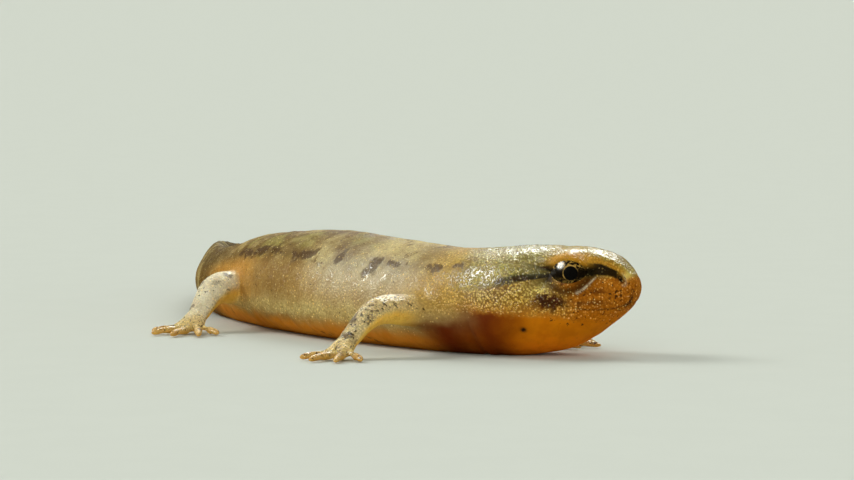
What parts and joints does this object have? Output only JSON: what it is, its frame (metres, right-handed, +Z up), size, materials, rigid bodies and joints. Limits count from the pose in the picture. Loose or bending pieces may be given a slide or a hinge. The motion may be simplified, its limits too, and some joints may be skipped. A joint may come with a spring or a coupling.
{
  "type": "newt figure",
  "caption": "Life-size still model of a smooth newt lying on its belly, its head turned to its left and its tail curled behind it.",
  "frame": {"origin": "on the floor, on the flat underside of the middle of the trunk", "axes": "+Z up, +X the way the head points, +Y to the head's left"},
  "size_m": [0.0377, 0.0706, 0.0065],
  "materials": {
    "head_skin": "wet granular skin, olive gold with a dark stripe through the eye",
    "throat_skin": "smooth wet orange skin",
    "body_skin": "wet olive brown skin with an orange belly",
    "leg_skin": "wet speckled golden brown skin",
    "eye": "glossy dark ball with a gold rimmed pupil"
  },
  "bodies": {
    "root": {"head": "head_skin", "lower_jaw": "throat_skin", "eye_left": "eye", "eye_right": "eye", "neck": "body_skin", "trunk_front": "body_skin", "trunk_middle": "body_skin", "trunk_rear": "body_skin", "tail_base": "body_skin", "tail_middle": "body_skin", "tail_end": "body_skin", "upper_arm_left": "leg_skin", "forearm_left": "leg_skin", "hand_left": "leg_skin", "upper_arm_right": "leg_skin", "forearm_right": "leg_skin", "hand_right": "leg_skin", "thigh_left": "leg_skin", "shin_left": "leg_skin", "foot_left": "leg_skin", "thigh_right": "leg_skin", "shin_right": "leg_skin", "foot_right": "leg_skin"}
  },
  "joints": []
}
